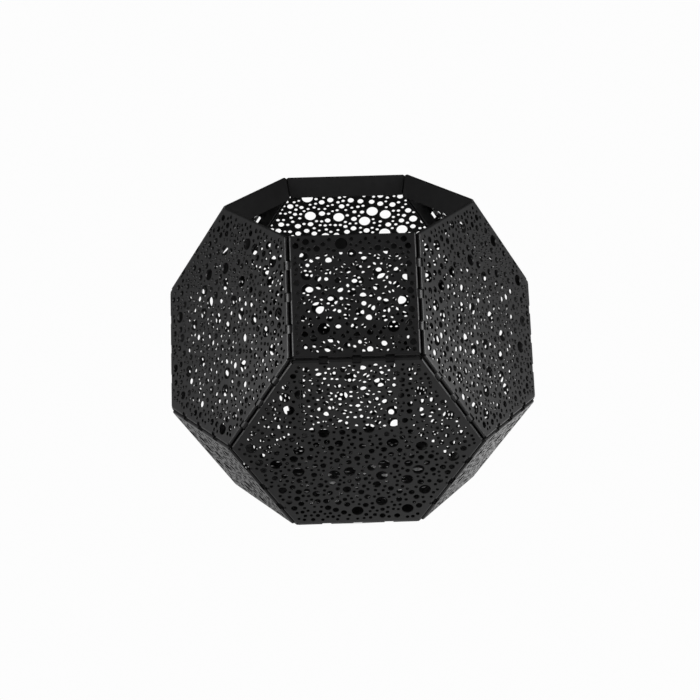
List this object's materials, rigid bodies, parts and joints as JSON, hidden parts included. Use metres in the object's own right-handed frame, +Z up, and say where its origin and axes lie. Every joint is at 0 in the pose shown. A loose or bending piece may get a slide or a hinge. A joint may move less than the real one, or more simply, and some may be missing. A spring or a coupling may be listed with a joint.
{
  "type": "tealight holder",
  "caption": "Tealight holder: a truncated octahedron of black perforated sheet steel, built of flanged panels that tabs hold together, with an open top and a funnel-like collar.",
  "frame": {"origin": "centre of the underside of the base panel, on the table", "axes": "+Z up through the open top; -Y towards the front, where a square panel stands above a hexagonal one; +X to the right seen from the front, through two opposite corners of the rim"},
  "size_m": [0.1024, 0.0988, 0.0839],
  "materials": {
    "black_coat": "satin black coat on thin sheet steel"
  },
  "bodies": {
    "root": {"base_panel": "black_coat", "lower_front_panel": "black_coat", "lower_back_right_panel": "black_coat", "lower_back_left_panel": "black_coat", "lower_back_panel": "black_coat", "lower_front_right_panel": "black_coat", "lower_front_left_panel": "black_coat", "upper_front_panel": "black_coat", "upper_back_right_panel": "black_coat", "upper_back_left_panel": "black_coat", "upper_back_panel": "black_coat", "upper_front_right_panel": "black_coat", "upper_front_left_panel": "black_coat"}
  },
  "joints": []
}
